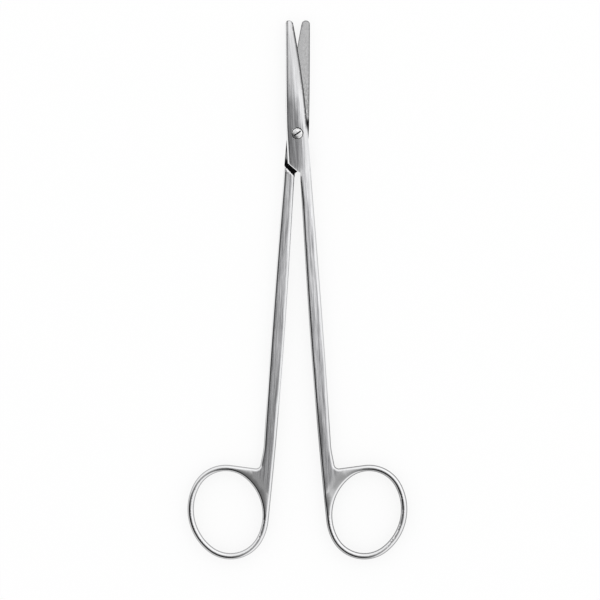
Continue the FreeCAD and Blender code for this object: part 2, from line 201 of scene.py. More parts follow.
def touch(outside, centre, radius, side):
    """Where a line from a point touches a circle, and the bearing of that place."""
    away = outside - centre
    bearing = math.atan2(away[1], away[0]) + side * math.acos(radius / np.hypot(*away))
    return centre + radius * np.array([math.cos(bearing), math.sin(bearing)]), bearing


def run(first, last, step=STEP):
    """Evenly spaced points of a straight run, without its last point."""
    count = max(1, round(np.hypot(*(last - first)) / step))
    return first + (last - first) * np.arange(count)[:, None] / count


def rounded_corner(before, corner, after, radius):
    """Points of an arc that rounds a corner."""
    a = (before - corner) / np.hypot(*(before - corner))
    b = (after - corner) / np.hypot(*(after - corner))
    half = math.acos(np.clip(a @ b, -1, 1)) / 2
    reach = radius / math.tan(half)
    middle = corner + (a + b) / np.hypot(*(a + b)) * radius / math.sin(half)
    first, last = corner + a * reach - middle, corner + b * reach - middle
    start = math.atan2(first[1], first[0])
    sweep = (math.atan2(last[1], last[0]) - start + math.pi) % (2 * math.pi) - math.pi
    count = max(2, int(abs(sweep) * radius / STEP), int(abs(sweep) / ARC_TURN))
    bearings = start + sweep * np.linspace(0, 1, count)
    return middle + radius * np.stack([np.cos(bearings), np.sin(bearings)], 1)


def nose_arc(start, stop):
    """Points of the blunt nose between two bearings, kept between the blade's sides."""
    bearings = np.linspace(start, stop, NOSE_POINTS)[:-1]
    x = NOSE_MIDDLE + TIP_ROUND * np.cos(bearings)
    y = TIP_REACH - TIP_ROUND + TIP_ROUND * np.sin(bearings)
    return np.stack([np.clip(x, spine_line(y), edge_line(y)), y], 1)


def outline_of_half():
    """The half's plan, turning left from the nose down the spine side."""
    top = TIP_REACH - TIP_ROUND
    rows = np.arange(top, -LAP_CORNER, -STEP)
    spine = np.stack([spine_line(rows), rows], 1)
    corner = np.array([-JOINT_SPINE, -LAP_CORNER])
    crotch = np.array([SHANK_GAP, shoulder_line(SHANK_GAP)])

    bend = np.array([SHANK_GAP, -(SHANK_STRAIGHT - RING_CENTRE[1]) / 2])
    side_centre = turned([(SIDE_OFFSET, 0)])[0]
    heel, heel_bearing = touch(bend, side_centre, SIDE_RADIUS + RING_BAND, 1)
    turn = math.atan2(heel[0] - bend[0], bend[1] - heel[1])
    bend_radius = abs(SHANK_STRAIGHT + bend[1]) / math.tan(turn / 2)
    bend_arc = rounded_corner(np.array([SHANK_GAP, 0.0]), bend, heel, bend_radius)

    top_centre = turned([(0, END_OFFSET)])[0]
    crown, crown_bearing = touch(WEB_CORNER, top_centre, END_RADIUS + RING_BAND, -1)
    ring_start, ring_stop = heel_bearing % (2 * math.pi), crown_bearing + 2 * math.pi
    ring_arc = oval(RING_BAND, ring_start + RING_LEAN, ring_stop + RING_LEAN)
    web = rounded_corner(crown, WEB_CORNER, WEB_TOP, WEB_CORNER_ROUND)
    shank_way = np.array([edge_line(WEB_TOP[1] + WEB_LEAD), WEB_TOP[1] + WEB_LEAD])
    flare = rounded_corner(WEB_CORNER, WEB_TOP, shank_way, WEB_FLARE_ROUND)
    rows = np.arange(flare[-1][1] + STEP, top, STEP)
    outer = np.stack([edge_line(rows), rows], 1)
    return np.concatenate([
        nose_arc(math.pi / 2, math.pi), spine,
        run(corner, LAP_ROOT, FINE_STEP), run(LAP_ROOT, crotch, FINE_STEP),
        run(crotch, bend_arc[0]), bend_arc, run(bend_arc[-1], heel)[1:],
        ring_arc, run(ring_arc[-1], web[0])[1:], web, run(web[-1], flare[0])[1:],
        flare, outer, nose_arc(0, math.pi / 2),
    ])


def inside(loop, points):
    """Which points lie inside a closed loop."""
    x, y = points.T
    within = np.zeros(len(points), bool)
    for (ax, ay), (bx, by) in zip(loop, np.roll(loop, -1, 0)):
        if ay != by:
            within ^= ((ay > y) != (by > y)) & (x < ax + (bx - ax) * (y - ay) / (by - ay))
    return within


def distance_to_lines(lines, points):
    """Shortest distance from each point to the open lines."""
    best = np.full(len(points), np.inf)
    for line in lines:
        for start, stop in zip(line, line[1:]):
            way = stop - start
            share = np.clip((points - start) @ way / (way @ way), 0, 1)
            best = np.minimum(best, np.hypot(*(points - start - share[:, None] * way).T))
    return best


def distance_to(loops, points):
    """Shortest distance from each point to the closed loops, worked out for 500 points at a time."""
    starts = np.concatenate(loops)
    ways = np.concatenate([np.roll(loop, -1, 0) - loop for loop in loops])
    lengths = (ways**2).sum(1)
    found = []
    for some in np.array_split(points, max(1, len(points) // 500)):
        away = some[:, None] - starts
        share = np.clip((away * ways).sum(2) / lengths, 0, 1)
        found.append(np.sqrt(((away - share[..., None] * ways) ** 2).sum(2).min(1)))
    return np.concatenate(found)


def rows_inside(loop, loops, depths):
    """Rows of points at set depths inside a loop, left out where another edge is nearer."""
    way = np.roll(loop, -1, 0) - np.roll(loop, 1, 0)
    way /= np.hypot(*way.T)[:, None]
    inward = np.stack([-way[:, 1], way[:, 0]], 1)
    kept = []
    for depth in depths:
        row = loop + inward * depth
        kept.append(row[distance_to(loops, row) > OWN_EDGE * depth])
    return np.concatenate(kept)


def thinned(points, least):
    """The points without those that crowd an earlier one."""
    cells = set()
    kept = []
    for point in points:
        cell = (round(point[0] / least), round(point[1] / least))
        if cell not in cells:
            cells.update((cell[0] + a, cell[1] + b) for a in (-1, 0, 1) for b in (-1, 0, 1))
            kept.append(point)
    return np.array(kept)


def circle_of(radius):
    """Points of a circle about the pivot."""
    bearings = np.linspace(0, 2 * math.pi, BORE_POINTS, endpoint=False)
    return radius * np.stack([np.cos(bearings), np.sin(bearings)], 1)


def shank_lean(points):
    """Both faces of the shank lean a little towards +X along its front part."""
    x, y = points.T
    share = smooth((LEAN_AHEAD - y - SHANK_LEAD) / LEAN_RISE) * (1 - smooth((-y - LEAN_END) / LEAN_FADE))
    return -SHANK_LEAN * share * (x - SHANK_MIDDLE)


def blade_height(points, depth):
    """Height of the blade and lap, ground flat, with a cutting bevel, a spine bevel and a rim."""
    x, y = points.T
    share = blade_share(y)
    flat = JOINT_THICK + (TIP_THICK - JOINT_THICK) * share**2
    lean = FLAT_LEAN * smooth((share - FLAT_LEAN_FROM) / FLAT_LEAN_OVER)
    start = spine_line(y) + SPINE_BEVEL
    land = np.where(
        y > JOINT_FRONT,
        TIP_LAND + (JOINT_LAND - TIP_LAND) * (1 - share) ** LAND_CURVE,
        JOINT_LAND + (LAP_LAND - JOINT_LAND) * lap_share(y),
    )
    across = (x - flat_line(y)) / (edge_line(y) - flat_line(y))
    bevel_drop = flat - lean * (edge_line(y) - start) - land
    bevel = bevel_drop * (across + np.sqrt(across**2 + BEVEL_SOFTNESS**2)) / 2
    nose_share = 1 - smooth((x - NOSE_MIDDLE + NOSE_BEVEL_FADE / 2) / NOSE_BEVEL_FADE)
    nose_spine = SPINE_BEVEL * nose_share - depth
    spine = np.where(y > TIP_REACH - TIP_ROUND, nose_spine, SPINE_BEVEL - (x - spine_line(y)))
    spine = np.where(y < -LAP_CORNER, -1, spine)
    lap_end = np.where((y < JOINT_FRONT) & (x < LAP_RIM_END), LAP_RIM - depth, -1)
    nose = np.where(y > TIP_REACH - 2 * TIP_ROUND, rounding(depth, NOSE_EDGE_ROUND), 0)
    cut = np.max([bevel, spine, lap_end, np.zeros(len(x))], 0)
    return flat - lean * np.clip(x - start, 0, None) - np.maximum(cut, nose)


def shank_height(points, depth):
    """Height of the shank, web and ring, with rounded edges, a crowned face and a sloped outer side."""
    x, y = points.T
    out = np.clip((-y - SHANK_LEAD) / OUTER_REACH, 0, 1)
    beyond = x - LAP_FLAT - (SHANK_BACK - LAP_FLAT) * out
    slope = OUTER_SLOPE * (1 - smooth(out)) * (beyond + np.sqrt(beyond**2 + OUTER_SOFTNESS)) / 2
    back = smooth((-y - WEB_FROM) / WEB_OVER)
    at_web = back * smooth((ring_distance(points) - RING_BAND) / WEB_RISE)
    web_tilt = WEB_LEAN * at_web * (x - WEB_MIDDLE[0] + WEB_TURN * (y - WEB_MIDDLE[1]))
    tilt = TOP_LEAN * (1 - back) * np.minimum(x - SHANK_MIDDLE, TOP_LEAN_REACH) + web_tilt
    return SHANK_THICK / 2 - rounding(depth, EDGE_ROUND) - CROWN * np.exp(-depth / CROWN_FADE) - slope - tilt


def top_height(points, loops):
    """Height of the outer face: the blade and lap run out into the thicker shank."""
    x, y = points.T
    depth = distance_to(loops, points)
    merge = smooth((-y - SHANK_LEAD) / RUNOUT)
    runout_lean = RUNOUT_LEAN * 4 * merge * (1 - merge) * (x - SHANK_MIDDLE)
    mixed = blade_height(points, depth) * (1 - merge) + shank_height(points, depth) * merge
    return mixed + shank_lean(points) - runout_lean


def underside_height(points, loops):
    """Height of the shank's underside, with a small rim along the shoulder."""
    depth = distance_to(loops, points)
    behind = (shoulder_line(points[:, 0]) - points[:, 1]) / SLANT
    rim = np.clip(SHOULDER_RIM - np.abs(behind), 0, None) * SHOULDER_DROP / SHOULDER_RIM
    body = np.maximum(rounding(depth, EDGE_ROUND), rim) + CROWN * np.exp(-depth / CROWN_FADE)
    return body - SHANK_THICK / 2 + shank_lean(points)


def creases_of_half():
    """Lines that the mesh follows: spine bevel, lap rim, shoulder and its rim, and the cutting bevel."""
    rows = np.arange(TIP_REACH - TIP_ROUND, -LAP_CORNER + SPINE_BEVEL, -STEP)
    spine = np.stack([spine_line(rows) + SPINE_BEVEL, rows], 1)
    rim_start = np.array([spine[-1][0], -LAP_CORNER - SPINE_BEVEL * LAP_SLOPE + LAP_RIM * SLANT])
    bearings = np.linspace(math.pi / 2 - math.atan(LAP_SLOPE), 0, TURN_POINTS)
    rim_turn = LAP_ROOT + LAP_RIM * np.stack([np.cos(bearings), np.sin(bearings)], 1)
    rim_end = run(rim_turn[-1] - [0, FINE_STEP], rim_turn[-1] - [0, 4 * FINE_STEP], FINE_STEP)
    rim = np.concatenate([run(rim_start, rim_turn[0], FINE_STEP), rim_turn, rim_end])
    outside = next(x for x in np.arange(3, 4.5, 0.001) if x >= edge_line(np.array([shoulder_line(x)]))[0])
    crotch = np.array([SHANK_GAP, shoulder_line(SHANK_GAP)])
    shoulder = run(crotch, np.array([outside, shoulder_line(outside)]), SHOULDER_STEP)
    creases = [spine, rim, shoulder[1:], shoulder[2:-2] - [0, SHOULDER_RIM * SLANT]]
    rows = np.arange(TIP_REACH - TIP_ROUND - 1, -SHANK_LEAD - RUNOUT, -STEP)
    for side in BEVEL_ROWS:
        line = np.stack([flat_line(rows) + side, rows], 1)
        line = line[np.hypot(*line.T) > SEAT_RADIUS + SEAT_RIM + SEAT_ROOM]
        breaks = np.flatnonzero(np.hypot(*np.diff(line, axis=0).T) > 2 * STEP) + 1
        creases.extend(np.split(line, breaks))
    return creases


def loose_points(outer, opening, loops):
    """Points between the edges and creases: close rows beside the edges, and a grid over the flats."""
    shank = rows_inside(outer, loops, ROUND_ROWS)
    middle = rows_inside(outer, loops, MIDDLE_ROWS)
    middle = middle[ring_distance(middle) > RING_BAND + 1]
    ridge = rows_inside(outer, loops, (RING_BAND / 2,))
    ridge = ridge[abs(ring_distance(ridge) - RING_BAND / 2) < RIDGE_ROOM]
    shank = np.concatenate([shank, middle, ridge])
    shank = shank[shank[:, 1] < -LAP_BACK]
    nose = rows_inside(outer, loops, NOSE_ROWS)
    nose = nose[nose[:, 1] > TIP_REACH - TIP_ROUND]
    ring = rows_inside(opening[::-1], loops, ROUND_ROWS)

    grid = np.stack(np.meshgrid(np.arange(-4, 30, GRID), np.arange(-145, 38, GRID)), -1).reshape(-1, 2)
    grid[:, 0] += (np.round(grid[:, 1] / GRID) % 2) * GRID / 2
    grid = grid[(distance_to(loops, grid) > GRID_ROOM) & inside(outer, grid) & ~inside(opening, grid)]
    grid = grid[(grid[:, 1] > -LAP_CORNER - 3) | (distance_to(loops, grid) > ROW_ROOM)]

    rows = np.arange(TIP_REACH - TIP_ROUND - 1, -SHANK_LEAD - RUNOUT, -STEP)
    rows = rows[rows > -LAP_BACK]
    edge = [np.stack([edge_line(rows) - side, rows], 1) for side in EDGE_ROWS]
    rows = np.arange(TIP_REACH - TIP_ROUND, -LAP_CORNER + SPINE_BEVEL, -STEP)
    spine = [np.stack([spine_line(rows) + SPINE_BEVEL + side, rows], 1) for side in SPINE_ROWS]
    points = np.concatenate([shank, nose, ring, grid, *edge, *spine])
    return points[inside(outer, points) & ~inside(opening, points)]


def plan_of_half(hole, seat):
    """The half's plan in fine triangles, close-set along its edges, with lines along its creases."""
    outer = outline_of_half()
    opening = oval(0, 0, 2 * math.pi)[:-1]
    loops = [outer, opening[::-1]]
    creases = creases_of_half()
    radii = [SEAT_RADIUS + SEAT_RIM, SEAT_RADIUS, hole] if seat else [hole]
    loose = loose_points(outer, opening, loops)
    away = np.hypot(*loose.T)
    clear = (distance_to_lines(creases, loose) > CREASE_ROOM) & (distance_to(loops, loose) > EDGE_ROOM)
    for radius in radii:
        clear &= abs(away - radius) > CREASE_ROOM
    loose = thinned(loose[clear & (away > hole)], LEAST_GAP)

    points, edges = [], []
    for loop in [outer, opening[::-1], *map(circle_of, radii)]:
        first = len(points)
        points.extend(loop)
        edges.extend((first + n, first + (n + 1) % len(loop)) for n in range(len(loop)))
    for line in creases:
        first = len(points)
        points.extend(line)
        edges.extend((first + n, first + n + 1) for n in range(len(line) - 1))
    points.extend(loose)
    found = delaunay_2d_cdt([Vector(p) for p in points], edges, [], 0, 1e-5)
    plan, triangles = np.array([tuple(p) for p in found[0]]), np.array(found[2])
    middle = plan[triangles].mean(1)
    solid = inside(outer, middle) & ~inside(opening, middle) & (np.hypot(*middle.T) > hole)
    return plan, triangles[solid], middle[solid], loops


# Painted shade: a near-black tone painted into edges, creases and recesses where shadows and dark reflections
# fall, from 0 (none) to 1 (black).
# A name in FROM or REACH is where it starts or how far it goes, one in OVER or FADE how softly, in millimetres.
EDGE_REACH, RING_FROM, RING_OVER = 0.5, 85, 15
CUTTING_DARK, CUTTING_REACH, CUTTING_FADE = 0.95, 0.3, 0.35
CUTTING_FROM, CUTTING_OVER = 0.5, 2.5
NOSE_DARK, NOSE_REACH = 0.6, 0.4
CREASE_DARK, CREASE_PLACE, CREASE_WIDTH = 0.95, 0.15, 0.26
BLADE_DARK, BLADE_FROM, BLADE_OVER = 0.14, 11, 10
JOINT_SHADE, JOINT_SHADE_AT_SPINE, JOINT_SHADE_REACH = 0.15, 0.3, 3.5
JOINT_SHADE_FROM, JOINT_SHADE_OVER, JOINT_SHADE_END, JOINT_SHADE_END_OVER = 16, 5, 9, 6
JOINT_SHADE_EDGE, JOINT_SHADE_EDGE_FADE = 0.15, 0.35
SHANK_AHEAD, SHANK_OVER = 4, 8
# Painted shade on the upright walls
WALL_DARK = 0.4
RECESS_DARK, RECESS_REACH = 0.75, 0.4
LAP_SHADE_FROM, LAP_SHADE_OVER = 4.2, 1.6
BRIGHTER, BRIGHTER_FROM, BRIGHTER_OVER = 0.5, 5.5, 1.5
BLACK_REACH, BLACK_FADE = 1.9, 0.6


def edge_shade(points, loops, painted_edge_shade):
    """Painted shade: dark outlines in the last of the roundings, along the cutting edge and beside the spine
    bevel, and a darker joint flat and blade front.
    """
    x, y = points.T
    depth = distance_to(loops, points)
    # Painted shade: dark outlines in the steep roundings where reflections go dark, darker towards the ring
    around = painted_edge_shade[0] + (painted_edge_shade[1] - painted_edge_shade[0]) * smooth((-y - RING_FROM) / RING_OVER)
    around = around * (1 - smooth(depth / EDGE_REACH))
    # Painted shade: a dark line along the cutting edge and round the nose, in place of its shadow
    cutting = CUTTING_DARK * (1 - smooth((edge_line(y) - x - CUTTING_REACH) / CUTTING_FADE))
    nose = NOSE_DARK * (y > TIP_REACH - TIP_ROUND) * (1 - smooth(depth / NOSE_REACH))
    cutting = np.maximum(cutting, nose) * smooth((y - CUTTING_FROM) / CUTTING_OVER)
    across = x - spine_line(y) - SPINE_BEVEL
    # Painted shade: a dark line on the flat beside the spine bevel's crease
    crease = np.where(y > -LAP_CORNER, CREASE_DARK * np.exp(-((across - CREASE_PLACE) / CREASE_WIDTH) ** 2), 0)
    # Painted shade: the joint's flat is painted darker from the lap to the blade, most beside the spine
    flat_dark = JOINT_SHADE + JOINT_SHADE_AT_SPINE * (1 - smooth(across / JOINT_SHADE_REACH))
    flat_dark = flat_dark * smooth((y + JOINT_SHADE_FROM) / JOINT_SHADE_OVER) * (1 - smooth((y - JOINT_SHADE_END) / JOINT_SHADE_END_OVER))
    flat_dark = flat_dark * (1 - smooth((x - flat_line(y) - JOINT_SHADE_EDGE) / JOINT_SHADE_EDGE_FADE))
    # Painted shade: the blade's front is painted a little darker towards the tip
    blade = BLADE_DARK * smooth((y - BLADE_FROM) / BLADE_OVER)
    front = np.max([cutting, crease, blade, flat_dark], 0)
    fade = smooth((-y - SHANK_LEAD + SHANK_AHEAD) / SHANK_OVER)
    return np.where(fade < 1, np.maximum(front * (1 - fade), around * fade), around)


def recess_shade(points, loops):
    """Painted shade on the inner ground face: none on the blade, some on the lap, black by the shoulder."""
    x, y = points.T
    ahead = (y - shoulder_line(x)) / SLANT
    # Painted shade: a dark outline round the ground face's edges
    rim = RECESS_DARK * (1 - smooth(distance_to(loops, points) / RECESS_REACH))
    # Painted shadow: the lap's ground face is darker behind the blade, less so further back
    brighter = BRIGHTER * smooth((-y - BRIGHTER_FROM) / BRIGHTER_OVER)
    lap = 1 - smooth((y - LAP_SHADE_FROM) / LAP_SHADE_OVER) - brighter
    # Painted shadow: black in the gap by the shoulder
    return np.max([rim, lap, 1 - smooth((ahead - BLACK_REACH) / BLACK_FADE)], 0)


RING_POLISH_REACH, EDGE_POLISH_FADE = 3, 0.4
BEVEL_POLISH, BEVEL_POLISH_FROM, BEVEL_POLISH_OVER = 0.7, 0.1, 0.4
BLADE_POLISH = 0.5


def polish_share(points, loops):
    """1 on the polished ring and rounded edges, 0 on the brushed flats."""
    x, y = points.T
    ring = 1 - smooth((ring_distance(points) - RING_BAND) / RING_POLISH_REACH)
    edges = 1 - smooth((distance_to(loops, points) - EDGE_REACH) / EDGE_POLISH_FADE)
    back = np.clip((-y - SHANK_LEAD) / OUTER_REACH, 0, 1)
    line = flat_line(y) + (SHANK_BACK - LAP_FLAT) * back
    bevel = BEVEL_POLISH * smooth((x - line - BEVEL_POLISH_FROM) / BEVEL_POLISH_OVER) * (1 - back)
    blade = BLADE_POLISH * smooth((y - BLADE_FROM) / BLADE_OVER)
    return np.max([ring, edges * (y < -SHANK_LEAD), bevel, blade], 0)


def on_bevel(place, kind):
    """Whether a place lies on a bevel or rim of the blade, lap or shoulder."""
    x, y = place[:2]
    if kind == "under":
        return shoulder_line(x) - y < SHOULDER_RIM * SLANT
    behind = LAP_CORNER + (x + JOINT_SPINE) * LAP_SLOPE + y
    spine = x < spine_line(y) + SPINE_BEVEL and y > -LAP_CORNER
    rim = y > -LAP_CORNER - LAP_FOOT * LAP_SLOPE and behind < LAP_RIM * SLANT
    return spine or rim or abs(math.hypot(x, y) - SEAT_RADIUS - SEAT_RIM / 2) < SEAT_RIM / 2


def colour(code):
    """An sRGB hex colour as linear RGBA."""
    parts = [int(code[n:n + 2], 16) / 255 for n in (1, 3, 5)]
    return (*[p / 12.92 if p <= 0.04045 else ((p + 0.055) / 1.055) ** 2.4 for p in parts], 1)


def node(tree, kind, settings=(), inputs=()):
    """Adds a node with its settings, and links or sets its inputs."""
    added = tree.nodes.new(kind)
    for key, value in dict(settings).items():
        setattr(added, key, value)
    for key, value in dict(inputs).items():
        if isinstance(value, bpy.types.NodeSocket):
            tree.links.new(value, added.inputs[key])
        else:
            added.inputs[key].default_value = value
    return added


# Near black of the painted shade, then the polished tone and its roughness
PAINTED_SHADE_TONE, POLISH_TONE, POLISH_ROUGHNESS = "#161617", "#ededee", 0.09
MARK_TONES_AT = (0.36, 0.64)
MARK_HEIGHT, MARK_DETAIL, MARK_CONTRAST = 5.0, 5.0, 0.7


def steel_finish(name, tones, roughness, variation, depth, mark_length, mark_width):
    """Steel with fine marks along the half, and painted shade and polish where the attributes say.

    The marks' depth, length and width are in millimetres, and the tones are their darkest and lightest.
    """
    finish = bpy.data.materials.new(name)
    finish.use_nodes = True
    tree = finish.node_tree
    shader = tree.nodes["Principled BSDF"]
    shader.inputs["Metallic"].default_value = 1
    grain = node(tree, "ShaderNodeAttribute", {"attribute_name": "grain"}).outputs["Vector"]
    shade = node(tree, "ShaderNodeAttribute", {"attribute_name": "shade"}).outputs["Fac"]
    polish = node(tree, "ShaderNodeAttribute", {"attribute_name": "polish"}).outputs["Fac"]
    drawn_out = node(tree, "ShaderNodeVectorMath", {"operation": "MULTIPLY"}, {
        0: grain, 1: (1 / mark_width, 1 / mark_length, 1 / MARK_HEIGHT),
    })
    marks = node(tree, "ShaderNodeTexNoise", {}, {
        "Vector": drawn_out.outputs[0], "Scale": 1.0, "Detail": MARK_DETAIL, "Roughness": MARK_CONTRAST,
    }).outputs["Fac"]

    toned = node(tree, "ShaderNodeValToRGB", {}, {"Fac": marks})
    for stop, place, tone in zip(toned.color_ramp.elements, MARK_TONES_AT, tones):
        stop.position = place
        stop.color = colour(tone)
    bright = node(tree, "ShaderNodeMix", {"data_type": "RGBA"}, {
        "Factor": polish, "A": toned.outputs["Color"], "B": colour(POLISH_TONE),
    })
    # Painted shade: the shade attribute mixes the colour towards near black
    painted_shade_mix = node(tree, "ShaderNodeMix", {"data_type": "RGBA"}, {
        "Factor": shade, "A": bright.outputs["Result"], "B": colour(PAINTED_SHADE_TONE),
    })
    tree.links.new(painted_shade_mix.outputs["Result"], shader.inputs["Base Color"])

    brushed = node(tree, "ShaderNodeMapRange", {}, {
        "Value": marks, "To Min": roughness * (1 + variation), "To Max": roughness * (1 - variation),
    })
    smoothed = node(tree, "ShaderNodeMix", {}, {
        "Factor": polish, "A": brushed.outputs["Result"], "B": POLISH_ROUGHNESS,
    })
    tree.links.new(smoothed.outputs["Result"], shader.inputs["Roughness"])
    unpolished = node(tree, "ShaderNodeMath", {"operation": "SUBTRACT"}, {0: 1.0, 1: polish})
    relief = node(tree, "ShaderNodeBump", {}, {
        "Height": marks, "Strength": unpolished.outputs[0], "Distance": depth * MM,
    })
    tree.links.new(relief.outputs["Normal"], shader.inputs["Normal"])
    return finish


# Satin stainless steel, brushed lengthwise with a fine belt: soft light and dark streaks along the shank.
# Real brush lines are about 0.05 mm wide and too fine to show, so they are drawn 0.45 mm wide.
SATIN = steel_finish("satin_brushed_steel", ("#969698", "#f2f2f4"), 0.17, 0.3, 0.007, 14.3, 0.455)

# Buffed stainless steel of the bevels, rims and seat: clear, bright reflections with hardly a line left.
# Its faint wheel marks are drawn a quarter of a millimetre wide, coarser than real ones.
POLISHED = steel_finish("polished_steel", ("#dadadb", "#f0f0f0"), 0.13, 0.3, 0.0005, 8.3, 0.25)

# Ground stainless steel of the inner face, from a flat stone of about 120 grit: an even, dull light grey.
# The stone's short scratches are about 0.1 mm wide, and are drawn 0.6 mm wide so that they show.
GROUND = steel_finish("ground_inner_steel", ("#b4b4b4", "#f4f4f4"), 0.5, 0.2, 0.002, 0.91, 0.625)

SHARP_ANGLE = math.radians(24)


def forge_half(name, body, cad_node, placement, hole, seat, painted_edge_shade):
    """One half as a closed mesh: its plan in fine triangles, raised to its faces and walled round."""
    plan, triangles, middle, loops = plan_of_half(hole, seat)
    tops = top_height(plan, loops)
    unders = underside_height(plan, loops)
    if seat:
        tops = tops - np.clip(SEAT_RADIUS + SEAT_RIM - np.hypot(*plan.T), 0, None)
    on_seat = (np.hypot(*middle.T) < SEAT_RADIUS) & seat
    in_front = middle[:, 1] > shoulder_line(middle[:, 0])

    vertices, index = [], {}
    levels = {}

    def vertex(place, height):
        """Number of the vertex at a point of the plan and a height, added when it is new."""
        key = (place, round(float(height), 4))
        if key not in index:
            index[key] = len(vertices)
            vertices.append((*plan[place], float(height)))
            levels.setdefault(place, []).append(float(height))
        return index[key]

    faces, kinds = [], []
    spans = []
    for number, (a, b, c) in enumerate(triangles):
        top = [JOINT_THICK - SEAT_DEPTH] * 3 if on_seat[number] else [tops[a], tops[b], tops[c]]
        under = [0.0] * 3 if in_front[number] else [unders[a], unders[b], unders[c]]
        spans.append((dict(zip((a, b, c), under)), dict(zip((a, b, c), top))))
        faces.append([vertex(p, h) for p, h in zip((a, b, c), top)])
        faces.append([vertex(p, h) for p, h in zip((c, b, a), reversed(under))])
        kinds.extend(("seat" if on_seat[number] else "top", "ground" if in_front[number] else "under"))

    def column(place, low, high):
        """Vertices above a point of the plan between two heights, from the lowest up."""
        between = sorted({round(h, 4) for h in levels[place] if low - 1e-6 <= h <= high + 1e-6})
        return [index[(place, h)] for h in between]

    def wall(start, stop, low, high):
        """Upright face from start to stop, seen with the solid behind it."""
        if high[start] - low[start] < NEAR and high[stop] - low[stop] < NEAR:
            return
        left = column(start, low[start], high[start])
        right = column(stop, low[stop], high[stop])
        around = [left[0], *right, *reversed(left[1:])]
        faces.append(list(dict.fromkeys(around)))
        kinds.append("wall")

    owner = {}
    for number, (a, b, c) in enumerate(triangles):
        owner.update({(a, b): number, (b, c): number, (c, a): number})
    for (start, stop), number in owner.items():
        low, high = spans[number]
        other = owner.get((stop, start))
        if other is None:
            wall(start, stop, low, high)
            continue
        other_low, other_high = spans[other]
        if high[start] > other_high[start] + NEAR or high[stop] > other_high[stop] + NEAR:
            wall(start, stop, other_high, high)
        if low[start] < other_low[start] - NEAR or low[stop] < other_low[stop] - NEAR:
            wall(start, stop, low, other_low)

    mesh = bpy.data.meshes.new(name)
    mesh.from_pydata(vertices, [], faces)
    corners = np.array(vertices)
    spots = corners[:, :2]
    grain = mesh.attributes.new("grain", "FLOAT_VECTOR", "POINT")
    grain.data.foreach_set("vector", corners.astype(np.float32).ravel())
    polish = mesh.attributes.new("polish", "FLOAT", "POINT")
    polish.data.foreach_set("value", polish_share(spots, loops).astype(np.float32))
    edge, recess = edge_shade(spots, loops, painted_edge_shade), recess_shade(spots, loops)
    full = np.ones(len(corners))
    # Painted shade: the seat's floor is painted black and the upright walls darker
    shades = {"top": edge, "under": edge, "ground": recess, "seat": full, "wall": WALL_DARK * full}
    bevels = [
        kind in ("top", "under") and on_bevel(corners[face].mean(0), kind) for face, kind in zip(faces, kinds)
    ]
    shade = mesh.attributes.new("shade", "FLOAT", "CORNER")
    shade.data.foreach_set("value", np.concatenate([
        shades[kind][face] * (not bevel) for face, kind, bevel in zip(faces, kinds, bevels)
    ]).astype(np.float32))
    for finish in (SATIN, POLISHED, GROUND):
        mesh.materials.append(finish)
    slots = {"top": 0, "under": 0, "wall": 1, "seat": 1, "ground": 2}
    chosen = [1 if bevel else slots[kind] for kind, bevel in zip(kinds, bevels)]
    mesh.polygons.foreach_set("material_index", chosen)
    mesh.transform(placement @ Matrix.Scale(MM, 4))
    mesh.shade_smooth()
    mesh.set_sharp_from_angle(angle=SHARP_ANGLE)
    piece = bpy.data.objects.new(name, mesh)
    bpy.context.scene.collection.objects.link(piece)
    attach(piece, body)
    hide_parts(cad_node)


# The ground faces meet at the joint's height. The last pair is how dark the painted outline is on the shank's
# edges and on the ring's edges.
RAISED = Matrix.Translation((0, 0, JOINT_THICK * MM))
forge_half(
    "upper_half_forging", "upper", "upper_half",
    RAISED @ Matrix.Rotation(HALF_ANGLE, 4, "Z"), BORE_RADIUS, True, (0.5, 0.95),
)
forge_half(
    "lower_half_forging", "lower", "lower_half",
    RAISED @ Matrix.Rotation(-HALF_ANGLE, 4, "Z") @ Matrix.Rotation(math.pi, 4, "Y"),
    THREAD_RADIUS, False, (0.1, 0.7),
)


# The pivot screw
# One turned steel screw holds the halves together and is the pin that they turn on.
# Its low crowned head sits in the upper half's seat. The slot is sawn with a small round cutter,
# so its floor runs out before the head's edge, and the thread's end is cut flush underneath.
HEAD_RADIUS, HEAD_EDGE, HEAD_CROWN, HEAD_LEAN, CROWN_CURVE = 1.7, 0.12, 0.2, 0.05, 3.5
JOURNAL_RADIUS = 1.2
SLOT_WIDTH, SLOT_DEPTH, SLOT_ANGLE, SAW_RADIUS = 0.48, 0.45, math.radians(34), 3.0
SAW_SHIFT = 1.4
BAR_SIDES, BAR_RINGS, SAW_SIDES = 96, 16, 128


